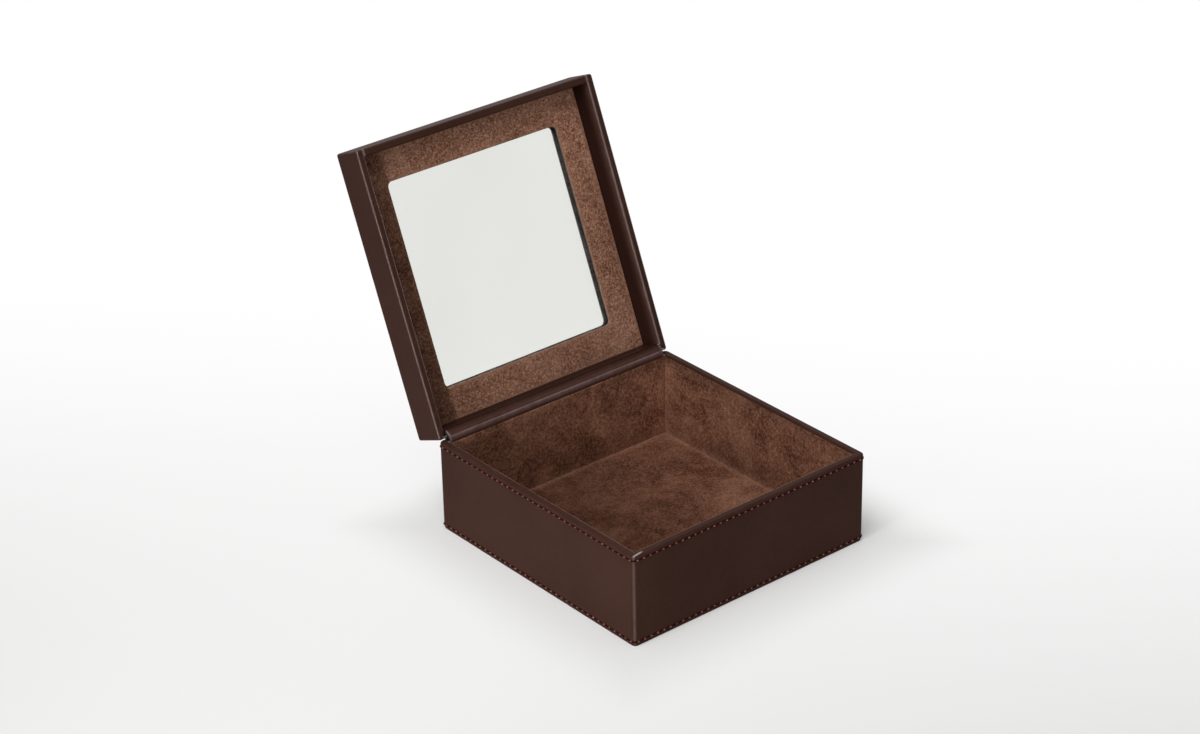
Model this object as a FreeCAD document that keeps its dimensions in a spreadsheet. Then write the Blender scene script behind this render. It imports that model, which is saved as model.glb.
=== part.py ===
import FreeCAD, Part
import os
import Sketcher
from FreeCAD import Placement, Rotation, Vector

# A square leather-covered box with one open compartment and a mirrored lid on a spring hinge.
# X runs along the hinge, Y towards the back, Z up; the origin is the middle of the underside.
# The lid is drawn standing fully open.  Lengths are in millimetres and angles in degrees.

doc = FreeCAD.newDocument("mirror_lid_box")
sizes = doc.addObject("Spreadsheet::Sheet", "Sizes")
# Sizes that can be changed; the sheet gets one row for each
driving_sizes = {
    # The box
    "box_width": 150,
    "box_depth": 150,
    "base_height": 49.5,
    "lid_height": 21,
    "lid_gap": 1.2,                       # between the two rims when the lid is shut
    "open_angle": 112.8,                  # how far the lid turns back from shut
    "corner_radius": 2.5,
    "lid_corner_radius": 1.2,
    "foot_radius": 0.8,
    "rim_radius": 1.0,
    # Leather and board
    "leather_thickness": 0.8,
    "board_thickness": 2.4,
    "bottom_board_thickness": 1.7,
    "turn_under": 8,                      # how far the leather is folded over the flat of the carcase
    "turn_in": 14,                        # how far the leather goes down inside the base
    # Underside of the base
    "underside_panel_thickness": 0.8,
    "underside_panel_inset": 0.5,
    # Lining of the base
    "lining_thickness": 1.0,
    "lining_drop": 0.9,                   # from the rim down to the top of the lining
    "floor_pad_thickness": 0.8,
    # Top of the lid and the mirror inside it
    "top_panel_thickness": 1.6,
    "top_panel_inset": 1.3,
    "top_panel_edge_radius": 0.6,
    "shoulder_radius": 1.0,               # of the leather round the lid's top edge
    "top_board_thickness": 1.8,
    "mirror_thickness": 1.5,
    "frame_thickness": 1.2,
    "frame_border": 17,                   # width of suede between the lid's wall and the window
    "mirror_overlap": 6,                  # how far the glass goes behind the frame
    "window_radius": 2.8,
    "window_edge_radius": 0.4,
    "card_clearance": 0.1,                # round loose cards and the glass
    # Hinge
    "hinge_rise": 1.35,                   # pin axis above the base's rim
    "pin_radius": 0.6,
    "pin_overhang": 1.7,                  # past the leaves, at each end
    "pin_fit": 0.05,                      # running fit between pin and knuckle
    "leaf_thickness": 0.3,
    "leaf_end_gap": 0.5,                  # from the leaf to the side board, at each end
    "leaf_height": 9,
    "knuckle_gap": 0.2,                   # between one knuckle and the next
    "hinge_clearance": 0.35,              # round the knuckles and the spring
    # Spring strip in front of the knuckles
    "spring_gap": 0.45,                   # from knuckle to strip
    "spring_thickness": 0.35,
    "facing_thickness": 0.4,
    "spring_end_gap": 0.5,                # from the strip to the side wall, at each end
    "spring_fold": 46.8,                  # angle the strip is folded by
    "spring_shut_tilt": 14.4,             # of the fold below level, lid shut
    "spring_base_flank": 1.7,
    "spring_lid_flank": 2.5,
    "facing_base_flank": 2.2,
    "facing_lid_flank": 2.9,
    "facing_fold_radius": 1.2,
}
for row, (name, number) in enumerate(driving_sizes.items(), start=1):
    sizes.set(f"A{row}", name)
    sizes.set(f"B{row}", str(number))
    sizes.setAlias(f"B{row}", name)
doc.recompute()


def value(name):
    """Return one size from the sheet as a number."""
    return float(sizes.get(name))


# Places worked out from the sizes, as expressions for the sketches
HALF_X = "Sizes.box_width / 2"
HALF_Y = "Sizes.box_depth / 2"
SKIN = "Sizes.leather_thickness"
BOARD = "Sizes.board_thickness"
BOARD_OUT_X = f"({HALF_X} - {SKIN})"
BOARD_OUT_Y = f"({HALF_Y} - {SKIN})"
BOARD_IN_X = f"({BOARD_OUT_X} - {BOARD})"
BOARD_IN_Y = f"({BOARD_OUT_Y} - {BOARD})"
WALL_IN_X = f"({BOARD_IN_X} - {SKIN})"
WALL_IN_Y = f"({BOARD_IN_Y} - {SKIN})"
HINGE_Y = BOARD_OUT_Y
HINGE_Z = "(Sizes.base_height + Sizes.hinge_rise)"
LEAF_LENGTH = f"(2 * {BOARD_IN_X} - 2 * Sizes.leaf_end_gap)"
PIN_LENGTH = f"({LEAF_LENGTH} + 2 * Sizes.pin_overhang)"
SPRING_LENGTH = f"(2 * {WALL_IN_X} - 2 * Sizes.spring_end_gap)"
SPRING_TURN = "(Sizes.open_angle / 2 - Sizes.spring_shut_tilt)"
KNUCKLE_RADIUS = "(Sizes.pin_radius + Sizes.pin_fit + Sizes.leaf_thickness)"
KNUCKLE_RELIEF = f"({KNUCKLE_RADIUS} + Sizes.hinge_clearance)"

# Levels of the base, from the underside up
RIM = "Sizes.base_height"
FOOT = "Sizes.underside_panel_thickness"
BOARD_LOW = f"({FOOT} + {SKIN})"
FLOOR_LOW = f"({BOARD_LOW} + Sizes.bottom_board_thickness)"
FLOOR = f"({FLOOR_LOW} + Sizes.floor_pad_thickness)"
LINING_TOP = f"({RIM} - Sizes.lining_drop)"

# Levels of the shut lid, measured from the pin axis; its middle is one HINGE_Y in front of it
LID_MIDDLE = f"(0 - {HINGE_Y})"
LID_RIM = "(Sizes.lid_gap - Sizes.hinge_rise)"
LID_TOP = f"({LID_RIM} + Sizes.lid_height)"
SHELL_TOP = f"({LID_TOP} - Sizes.top_panel_thickness)"
TOP_BOARD_TOP = f"({SHELL_TOP} - {SKIN})"
TOP_BOARD_LOW = f"({TOP_BOARD_TOP} - Sizes.top_board_thickness)"
MIRROR_LOW = f"({TOP_BOARD_LOW} - Sizes.mirror_thickness)"
FRAME_LOW = f"({MIRROR_LOW} - Sizes.frame_thickness)"


def new_body(label):
    body = doc.addObject("PartDesign::Body", label)
    body.Label = label
    return body


def hang_on_pin(body, turn="Sizes.open_angle"):
    """Put a body that is drawn round the pin axis on the pin, turned back by the given angle."""
    body.Placement = Placement(Vector(0, 1, 1), Rotation(Vector(-1, 0, 0), 10))
    body.setExpression("Placement.Base.y", HINGE_Y)
    body.setExpression("Placement.Base.z", HINGE_Z)
    body.setExpression("Placement.Rotation.Angle", turn)


def sketch_on(body, name, role, shift="0"):
    """Start a sketch on one of the body's own origin planes, shifted along the plane's normal."""
    sketch = body.newObject("Sketcher::SketchObject", name)
    plane = [feature for feature in body.Origin.OriginFeatures if feature.Role == role][0]
    sketch.AttachmentSupport = [(plane, "")]
    sketch.MapMode = "FlatFace"
    sketch.setExpression("AttachmentOffset.Base.z", shift)
    return sketch


def fix_point(sketch, geometry, point, across, up):
    """Tie one point of a sketch to two expressions."""
    start = sketch.getPoint(geometry, point)
    for kind, length, expression in (("DistanceX", start.x, across), ("DistanceY", start.y, up)):
        number = sketch.addConstraint(Sketcher.Constraint(kind, -1, 1, geometry, point, length))
        sketch.setExpression(f"Constraints[{number}]", expression)


def join(sketch, first, count, kind):
    """Join each element of a closed run to the next, end to start."""
    for index in range(count):
        following = first + (index + 1) % count
        sketch.addConstraint(Sketcher.Constraint(kind, first + index, 2, following, 1))


def outline(sketch, corners):
    """Add a closed outline of straight lines through corners given as pairs of expressions."""
    first = sketch.GeometryCount
    step = Rotation(Vector(0, 0, 1), 360 / len(corners))
    start = Vector(10, 5, 0)
    for corner in corners:
        end = step.multVec(start)
        sketch.addGeometry(Part.LineSegment(start, end), False)
        start = end
    join(sketch, first, len(corners), "Coincident")
    for index, (across, up) in enumerate(corners):
        fix_point(sketch, first + index, 1, across, up)


def rectangle(sketch, left, right, low, high):
    outline(sketch, [(left, low), (right, low), (right, high), (left, high)])


def rounded_rectangle(sketch, half_x, half_y, middle_y, radius):
    """Add a rectangle with rounded corners, its middle on the sketch's upright axis."""
    first = sketch.GeometryCount
    near = value("box_width") / 2 - 2
    middle = 0 if middle_y == "0" else value("leather_thickness") - value("box_depth") / 2
    signs = [(1, 1), (-1, 1), (-1, -1), (1, -1)]
    for quarter, (right, up) in enumerate(signs):
        turn = Rotation(Vector(0, 0, 1), 90 * quarter)
        centre = Vector(near * right, middle + near * up, 0)
        corner = Part.Circle(centre, Vector(0, 0, 1), 2)
        low = FreeCAD.Units.Quantity(f"{90 * quarter} deg").getValueAs("rad").Value
        high = FreeCAD.Units.Quantity(f"{90 * quarter + 90} deg").getValueAs("rad").Value
        sketch.addGeometry(Part.ArcOfCircle(corner, low, high), False)
        side = centre + turn.multVec(Vector(0, 2, 0))
        end = side + turn.multVec(Vector(-2 * near, 0, 0))
        sketch.addGeometry(Part.LineSegment(side, end), False)
    join(sketch, first, 8, "Tangent")
    for quarter, (right, up) in enumerate(signs):
        arc = first + 2 * quarter
        across = f"{right} * ({half_x} - {radius})"
        fix_point(sketch, arc, 3, across, f"{middle_y} + {up} * ({half_y} - {radius})")
        number = sketch.addConstraint(Sketcher.Constraint("Radius", arc, 2.0))
        sketch.setExpression(f"Constraints[{number}]", radius)


def circle(sketch, radius):
    """Add a circle round the origin of the sketch."""
    index = sketch.addGeometry(Part.Circle(Vector(0, 0, 0), Vector(0, 0, 1), 1), False)
    sketch.addConstraint(Sketcher.Constraint("Coincident", index, 3, -1, 1))
    number = sketch.addConstraint(Sketcher.Constraint("Radius", index, 1.0))
    sketch.setExpression(f"Constraints[{number}]", radius)


def extrude(body, kind, sketch, length, both_ways=False, reverse=False):
    """Pad or pocket a sketch by a length given as an expression."""
    feature = body.newObject(f"PartDesign::{kind}", f"{kind}_{sketch.Name}")
    feature.Profile = sketch
    feature.setExpression("Length", length)
    feature.Reversed = reverse
    if both_ways:
        feature.SideType = "Symmetric"
    sketch.Visibility = False
    return feature


def pad(body, sketch, length, both_ways=False):
    return extrude(body, "Pad", sketch, length, both_ways)


def pocket_up(body, sketch, length):
    """Cut upwards from a level sketch."""
    return extrude(body, "Pocket", sketch, length, reverse=True)


def pocket_both_ways(body, sketch, length):
    return extrude(body, "Pocket", sketch, length, both_ways=True)


def fillet(body, radius, wanted):
    """Round the edges of the body that the test picks out."""
    doc.recompute()
    base = body.Tip
    edges = base.Shape.Edges
    names = [f"Edge{number + 1}" for number, edge in enumerate(edges) if wanted(edge)]
    feature = body.newObject("PartDesign::Fillet", "Fillet_" + body.Name)
    feature.Base = (base, names)
    feature.setExpression("Radius", radius)
    return feature


def level_edge(height, within=1000.0):
    """Test for edges that lie level at one height, no further out than the given half width."""
    return lambda edge: (abs(edge.BoundBox.ZMin - height) < 0.01
                         and abs(edge.BoundBox.ZMax - height) < 0.01
                         and abs(edge.BoundBox.XMin) < within
                         and abs(edge.BoundBox.XMax) < within)


def upright_edge_at(half_x):
    """Test for upright edges on the two planes that far either side of the middle."""
    return lambda edge: (edge.BoundBox.XLength < 0.01 and edge.BoundBox.YLength < 0.01
                         and abs(abs(edge.CenterOfMass.x) - half_x) < 0.01)


# ---- Board carcase -------------------------------------------------------------------------

def box_board(label, left, right, front, back, low, high):
    """One rectangular board or card, drawn from above."""
    body = new_body(label)
    sketch = sketch_on(body, "plan_" + label, "XY_Plane", low)
    rectangle(sketch, left, right, front, back)
    pad(body, sketch, f"{high} - {low}")
    return body


def closing_panel(label, middle_y, low, high, inset, corner):
    """A leather panel that closes the top or underside, a little smaller than the box."""
    body = new_body(label)
    plan = sketch_on(body, "plan_" + label, "XY_Plane", low)
    rounded_rectangle(plan, f"({HALF_X} - {inset})", f"({HALF_Y} - {inset})", middle_y, corner)
    pad(body, plan, f"{high} - {low}")
    return body


def side_board(label, side, middle_y, low, high, corner):
    """A left or right wall board, which runs the full depth and is rounded under the leather."""
    edges = [f"{side} * {BOARD_IN_X}", f"{side} * {BOARD_OUT_X}"]
    front = f"{middle_y} - {BOARD_OUT_Y}"
    back = f"{middle_y} + {BOARD_OUT_Y}"
    body = box_board(label, edges[0], edges[1], front, back, low, high)
    outside = value("box_width") / 2 - value("leather_thickness")
    fillet(body, f"{corner} - {SKIN}", upright_edge_at(outside))
    return body


def hinge_wall_board(label, middle_y, low, high, rebate_edge):
    """The back wall board: let down behind the rim for the spring, and cut back for the leaf."""
    front = f"{middle_y} + {BOARD_IN_Y}"
    back = f"{middle_y} + {BOARD_OUT_Y}"
    leaf_front = f"{back} - Sizes.leaf_thickness"
    hinge_height = "0" if middle_y == LID_MIDDLE else HINGE_Z
    upward = "1" if middle_y == LID_MIDDLE else "-1"
    leaf_end = f"{hinge_height} + {upward} * Sizes.leaf_height"
    far_edge = high if middle_y == LID_MIDDLE else low
    body = new_body(label)
    sketch = sketch_on(body, "section_" + label, "YZ_Plane")
    outline(sketch, [(front, far_edge), (back, far_edge), (back, leaf_end),
                     (leaf_front, leaf_end), (leaf_front, rebate_edge), (front, rebate_edge)])
    pad(body, sketch, f"2 * {BOARD_IN_X}", both_ways=True)
    return body


# Reach of the spring strip from the pin: to the corner of the facing at each end
FACING_FRONT = (f"({KNUCKLE_RADIUS} + Sizes.spring_gap + Sizes.spring_thickness"
                " + Sizes.facing_thickness)")
FOLD_TO_FOOT = f"({FACING_FRONT} * tan(Sizes.spring_fold / 2))"
BASE_REACH = f"sqrt({FACING_FRONT} ^ 2 + (Sizes.facing_base_flank - {FOLD_TO_FOOT}) ^ 2)"
LID_REACH = f"sqrt({FACING_FRONT} ^ 2 + (Sizes.facing_lid_flank - {FOLD_TO_FOOT}) ^ 2)"
BASE_REBATE = f"({HINGE_Z} - {BASE_REACH} - Sizes.hinge_clearance)"
LID_REBATE = f"({LID_REACH} + Sizes.hinge_clearance)"


def leather_wrap(label, middle_y, low, high, rim_up, turn_in, corner, far_radius):
    """One strip of leather round four walls: over the rim, down inside, and over the far edge.

    rim_up says whether the open rim is the upper edge, as on the base, or the lower one.
    corner rounds the upright corners, and far_radius the edge away from the rim.
    """
    skin_low = f"{low} + {SKIN}"
    skin_high = f"{high} - {SKIN}"
    body = box_board(label, f"-{HALF_X}", HALF_X, f"{middle_y} - {HALF_Y}",
                     f"{middle_y} + {HALF_Y}", low, high)
    fillet(body, corner, upright_edge_at(value("box_width") / 2))
    block = body.Shape.BoundBox
    fillet(body, "Sizes.rim_radius", level_edge(block.ZMax if rim_up else block.ZMin))
    fillet(body, far_radius, level_edge(block.ZMin if rim_up else block.ZMax))

    mouth_low = skin_low if rim_up else low
    mouth = sketch_on(body, "mouth_of_" + label, "XY_Plane", mouth_low)
    rectangle(mouth, f"-{WALL_IN_X}", WALL_IN_X,
              f"{middle_y} - {WALL_IN_Y}", f"{middle_y} + {WALL_IN_Y}")
    pocket_up(body, mouth, f"{high} - ({skin_low})")
    rim_height = block.ZMax if rim_up else block.ZMin
    fillet(body, "Sizes.rim_radius", level_edge(rim_height, within=value("box_width") / 2
                                                - 1.5 * value("rim_radius")))

    wall = sketch_on(body, "boards_in_" + label, "XY_Plane", skin_low)
    inner_corner = f"({corner} - {SKIN})"
    rounded_rectangle(wall, BOARD_OUT_X, BOARD_OUT_Y, middle_y, inner_corner)
    rectangle(wall, f"-{BOARD_IN_X}", BOARD_IN_X,
              f"{middle_y} - {BOARD_IN_Y}", f"{middle_y} + {BOARD_IN_Y}")
    pocket_up(body, wall, f"{skin_high} - ({skin_low})")

    inside_low = skin_low if rim_up else f"{low} + {turn_in}"
    inside_high = f"{high} - {turn_in}" if rim_up else skin_high
    inside = sketch_on(body, "inside_of_" + label, "XY_Plane", inside_low)
    rectangle(inside, f"-{BOARD_IN_X}", BOARD_IN_X,
              f"{middle_y} - {BOARD_IN_Y}", f"{middle_y} + {BOARD_IN_Y}")
    pocket_up(body, inside, f"{inside_high} - ({inside_low})")

    flap_low = low if rim_up else skin_high
    flap_x = f"({BOARD_OUT_X} - Sizes.turn_under)"
    flap_y = f"({BOARD_OUT_Y} - Sizes.turn_under)"
    flap = sketch_on(body, "flap_of_" + label, "XY_Plane", flap_low)
    rectangle(flap, f"-{flap_x}", flap_x, f"{middle_y} - {flap_y}", f"{middle_y} + {flap_y}")
    pocket_up(body, flap, SKIN)
    return body


def clear_for_spring(body, name, front, back, low, high):
    """Cut the leather away behind the rim, along the whole back wall."""
    sketch = sketch_on(body, name, "YZ_Plane")
    rectangle(sketch, front, back, low, high)
    pocket_both_ways(body, sketch, f"2 * {BOARD_IN_X}")


def clear_for_knuckles(body, name):
    """Cut a round groove for the knuckles and the pin's ends into a piece of the lid."""
    sketch = sketch_on(body, name, "YZ_Plane")
    circle(sketch, KNUCKLE_RELIEF)
    pocket_both_ways(body, sketch, f"{PIN_LENGTH} + 2 * Sizes.hinge_clearance")


# ---- Base ----------------------------------------------------------------------------------

BOARD_TOP = f"({RIM} - {SKIN})"
box_board("base_bottom_board", f"-{BOARD_IN_X}", BOARD_IN_X, f"-{BOARD_IN_Y}", BOARD_IN_Y,
          BOARD_LOW, FLOOR_LOW)
box_board("base_front_board", f"-{BOARD_IN_X}", BOARD_IN_X, f"-{BOARD_OUT_Y}",
          f"-{BOARD_IN_Y}", BOARD_LOW, BOARD_TOP)
side_board("base_left_board", -1, "0", BOARD_LOW, BOARD_TOP, "Sizes.corner_radius")
side_board("base_right_board", 1, "0", BOARD_LOW, BOARD_TOP, "Sizes.corner_radius")
hinge_wall_board("base_back_board", "0", BOARD_LOW, BOARD_TOP, BASE_REBATE)

base_wrap = leather_wrap("base_leather_wrap", "0", FOOT, RIM, True, "Sizes.turn_in",
                         "Sizes.corner_radius", "Sizes.foot_radius")
clear_for_spring(base_wrap, "behind_base_rim", f"{WALL_IN_Y}", BOARD_OUT_Y, BASE_REBATE, RIM)

# The panel that the box stands on covers the turned-under leather and the card inside it
flap_x = f"({BOARD_OUT_X} - Sizes.turn_under - Sizes.card_clearance)"
flap_y = f"({BOARD_OUT_Y} - Sizes.turn_under - Sizes.card_clearance)"
box_board("base_filler_card", f"-{flap_x}", flap_x, f"-{flap_y}", flap_y, FOOT, BOARD_LOW)
closing_panel("base_underside_panel", "0", "0", FOOT, "Sizes.underside_panel_inset",
              "(Sizes.corner_radius - Sizes.underside_panel_inset)")

# The linings stand on the bottom board: left and right run the full depth
lining_x = f"({WALL_IN_X} - Sizes.lining_thickness)"
lining_y = f"({WALL_IN_Y} - Sizes.lining_thickness)"
box_board("base_left_lining", f"-{WALL_IN_X}", f"-{lining_x}", f"-{WALL_IN_Y}", WALL_IN_Y,
          FLOOR_LOW, LINING_TOP)
box_board("base_right_lining", lining_x, WALL_IN_X, f"-{WALL_IN_Y}", WALL_IN_Y,
          FLOOR_LOW, LINING_TOP)
box_board("base_front_lining", f"-{lining_x}", lining_x, f"-{WALL_IN_Y}", f"-{lining_y}",
          FLOOR_LOW, LINING_TOP)
box_board("base_back_lining", f"-{lining_x}", lining_x, lining_y, WALL_IN_Y,
          FLOOR_LOW, LINING_TOP)
box_board("base_floor_pad", f"-{lining_x}", lining_x, f"-{lining_y}", lining_y,
          FLOOR_LOW, FLOOR)


# ---- Lid, drawn shut round the pin axis and then turned back --------------------------------

LID_FRONT_OUT = f"{LID_MIDDLE} - {BOARD_OUT_Y}"
LID_FRONT_IN = f"{LID_MIDDLE} - {BOARD_IN_Y}"
LID_BACK_OUT = f"{LID_MIDDLE} + {BOARD_OUT_Y}"

top_board = box_board("lid_top_board", f"-{BOARD_OUT_X}", BOARD_OUT_X, LID_FRONT_OUT,
                      LID_BACK_OUT, TOP_BOARD_LOW, TOP_BOARD_TOP)
fillet(top_board, f"Sizes.lid_corner_radius - {SKIN}",
       upright_edge_at(value("box_width") / 2 - value("leather_thickness")))
WALL_LOW = f"({LID_RIM} + {SKIN})"
front_board = box_board("lid_front_board", f"-{BOARD_IN_X}", BOARD_IN_X, LID_FRONT_OUT,
                        LID_FRONT_IN, WALL_LOW, TOP_BOARD_LOW)
left_board = side_board("lid_left_board", -1, LID_MIDDLE, WALL_LOW, TOP_BOARD_LOW,
                        "Sizes.lid_corner_radius")
right_board = side_board("lid_right_board", 1, LID_MIDDLE, WALL_LOW, TOP_BOARD_LOW,
                         "Sizes.lid_corner_radius")
clear_for_knuckles(left_board, "pin_end_left")
clear_for_knuckles(right_board, "pin_end_right")
back_board = hinge_wall_board("lid_back_board", LID_MIDDLE, WALL_LOW, TOP_BOARD_LOW, LID_REBATE)

lid_wrap = leather_wrap("lid_leather_wrap", LID_MIDDLE, LID_RIM, SHELL_TOP, False,
                        f"({TOP_BOARD_LOW} - {LID_RIM})", "Sizes.lid_corner_radius",
                        "Sizes.shoulder_radius")
clear_for_spring(lid_wrap, "behind_lid_rim", f"{LID_MIDDLE} + {WALL_IN_Y}", LID_BACK_OUT,
                 LID_RIM, LID_REBATE)
clear_for_knuckles(lid_wrap, "knuckles_in_leather")

filler = box_board("lid_filler_card", f"-{flap_x}", flap_x, f"{LID_MIDDLE} - {flap_y}",
                   f"{LID_MIDDLE} + {flap_y}", TOP_BOARD_TOP, SHELL_TOP)

top_panel = closing_panel("lid_top_panel", LID_MIDDLE, SHELL_TOP, LID_TOP,
                          "Sizes.top_panel_inset", "Sizes.lid_corner_radius")
lid_top = value("lid_gap") - value("hinge_rise") + value("lid_height")
fillet(top_panel, "Sizes.top_panel_edge_radius", level_edge(lid_top))

# Mirror, held between the top board and the suede-covered frame
card_x = f"({WALL_IN_X} - Sizes.card_clearance)"
card_y = f"({WALL_IN_Y} - Sizes.card_clearance)"
window_x = f"({WALL_IN_X} - Sizes.frame_border)"
window_y = f"({WALL_IN_Y} - Sizes.frame_border)"
glass_x = f"({window_x} + Sizes.mirror_overlap)"
glass_y = f"({window_y} + Sizes.mirror_overlap)"
surround = box_board("mirror_surround_card", f"-{card_x}", card_x, f"{LID_MIDDLE} - {card_y}",
                     f"{LID_MIDDLE} + {card_y}", MIRROR_LOW, TOP_BOARD_LOW)
hole_x = f"({glass_x} + Sizes.card_clearance)"
hole_y = f"({glass_y} + Sizes.card_clearance)"
hole = sketch_on(surround, "glass_hole", "XY_Plane", MIRROR_LOW)
rectangle(hole, f"-{hole_x}", hole_x, f"{LID_MIDDLE} - {hole_y}", f"{LID_MIDDLE} + {hole_y}")
pocket_up(surround, hole, "Sizes.mirror_thickness")

mirror = box_board("mirror_glass", f"-{glass_x}", glass_x, f"{LID_MIDDLE} - {glass_y}",
                   f"{LID_MIDDLE} + {glass_y}", MIRROR_LOW, TOP_BOARD_LOW)

frame = box_board("lid_suede_frame", f"-{card_x}", card_x, f"{LID_MIDDLE} - {card_y}",
                  f"{LID_MIDDLE} + {card_y}", FRAME_LOW, MIRROR_LOW)
window = sketch_on(frame, "window", "XY_Plane", FRAME_LOW)
rounded_rectangle(window, window_x, window_y, LID_MIDDLE, "Sizes.window_radius")
pocket_up(frame, window, "Sizes.frame_thickness")


def window_edge(edge):
    """The edges round the window on the side that faces the base."""
    whole = frame.Shape.BoundBox
    within = whole.XMin + 0.01 < edge.BoundBox.XMin and edge.BoundBox.XMax < whole.XMax - 0.01
    return within and level_edge(whole.ZMin)(edge)


fillet(frame, "Sizes.window_edge_radius", window_edge)

lid_bodies = [top_board, front_board, left_board, right_board, back_board, lid_wrap, filler,
              top_panel, surround, mirror, frame]


# ---- Spring hinge: two rolled leaves on one pin, with a folded spring strip in front ---------

KNUCKLES = 5
KNUCKLE_PITCH = f"(({LEAF_LENGTH} + Sizes.knuckle_gap) / {KNUCKLES})"


def leaf(label, up, first_gap):
    """One leaf of rolled sheet with its knuckles, drawn round the pin axis.

    up is 1 for the lid's leaf and -1 for the base's; first_gap is the first place along the
    pin, counted from the left, that belongs to the other leaf's knuckles.
    """
    body = new_body(label)
    flat = sketch_on(body, "sheet_" + label, "YZ_Plane")
    rectangle(flat, "-Sizes.leaf_thickness", "0", f"{up} * Sizes.leaf_height",
              f"{up} * Sizes.pin_radius")
    pad(body, flat, LEAF_LENGTH, both_ways=True)
    roll = sketch_on(body, "roll_" + label, "YZ_Plane")
    circle(roll, KNUCKLE_RADIUS)
    pad(body, roll, LEAF_LENGTH, both_ways=True)
    bore = sketch_on(body, "bore_" + label, "YZ_Plane")
    circle(bore, "Sizes.pin_radius + Sizes.pin_fit")
    pocket_both_ways(body, bore, f"{LEAF_LENGTH} + {PIN_LENGTH}")
    gaps = sketch_on(body, "gaps_" + label, "XZ_Plane")
    for place in range(first_gap, KNUCKLES, 2):
        left = f"-{LEAF_LENGTH} / 2 - Sizes.knuckle_gap + {place} * {KNUCKLE_PITCH}"
        right = f"{left} + {KNUCKLE_PITCH} + Sizes.knuckle_gap"
        rectangle(gaps, left, right, f"{up} * {KNUCKLE_RELIEF}", f"-{up} * 2 * {KNUCKLE_RELIEF}")
    pocket_both_ways(body, gaps, f"4 * {KNUCKLE_RELIEF}")
    return body


base_leaf = leaf("hinge_base_leaf", -1, 1)
lid_leaf = leaf("hinge_lid_leaf", 1, 0)
lid_bodies.append(lid_leaf)

pin = new_body("hinge_pin")
pin_section = sketch_on(pin, "wire", "YZ_Plane")
circle(pin_section, "Sizes.pin_radius")
pad(pin, pin_section, PIN_LENGTH, both_ways=True)


def folded_strip(label, name, inner, thickness, base_flank, lid_flank):
    """A strip folded once along its length, drawn with the fold level with the pin.

    inner is the distance from the pin axis to the flat inside face of each flank.
    """
    half_fold = "(Sizes.spring_fold / 2)"
    inner_fold = f"-{inner} / cos({half_fold})"
    outer_fold = f"-({inner} + {thickness}) / cos({half_fold})"
    corners = [(outer_fold, "0")]
    for flank, up in ((lid_flank, 1), (base_flank, -1)):
        end_y = f"{outer_fold} + {flank} * sin({half_fold})"
        end_z = f"{up} * {flank} * cos({half_fold})"
        back_y = f"{end_y} + {thickness} * cos({half_fold})"
        back_z = f"{end_z} - {up} * {thickness} * sin({half_fold})"
        pair = [(end_y, end_z), (back_y, back_z)]
        corners += pair if up > 0 else [(inner_fold, "0")] + pair[::-1]
    body = new_body(label)
    sketch = sketch_on(body, name, "YZ_Plane")
    outline(sketch, corners)
    pad(body, sketch, SPRING_LENGTH, both_ways=True)
    return body


SPRING_INNER = f"({KNUCKLE_RADIUS} + Sizes.spring_gap)"
FACING_INNER = f"({SPRING_INNER} + Sizes.spring_thickness)"
spring = folded_strip("hinge_spring", "spring_section", SPRING_INNER, "Sizes.spring_thickness",
                      "Sizes.spring_base_flank", "Sizes.spring_lid_flank")
facing = folded_strip("hinge_spring_leather", "facing_section", FACING_INNER,
                      "Sizes.facing_thickness", "Sizes.facing_base_flank",
                      "Sizes.facing_lid_flank")


def outer_fold_edge(edge):
    return edge.BoundBox.XLength > 1 and edge.CenterOfMass.y < facing_fold + 0.01


doc.recompute()
facing_fold = facing.Shape.BoundBox.YMin
fillet(facing, "Sizes.facing_fold_radius", outer_fold_edge)

for lid_body in lid_bodies:
    hang_on_pin(lid_body)
for fixed_body in (base_leaf, pin):
    hang_on_pin(fixed_body, "0")
for spring_body in (spring, facing):
    hang_on_pin(spring_body, SPRING_TURN)

doc.recompute()


# ---- Checks and files ------------------------------------------------------------------------

for thing in doc.Objects:
    if "Invalid" in thing.State or "Error" in thing.State:
        raise RuntimeError(f"{thing.Label} did not build: {thing.State}")

bodies = [thing for thing in doc.Objects if thing.TypeId == "PartDesign::Body"]
for body in bodies:
    if body.Shape.isNull() or not body.Shape.isValid() or len(body.Shape.Solids) != 1:
        raise RuntimeError(f"{body.Label} is not one valid solid")

os.makedirs("parts", exist_ok=True)
for body in bodies:
    body.Shape.exportStep(f"parts/{body.Label}.step")
print(len(bodies), "pieces written")
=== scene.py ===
import math

import bmesh
import bpy
from mathutils import Matrix, Vector, noise


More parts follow.
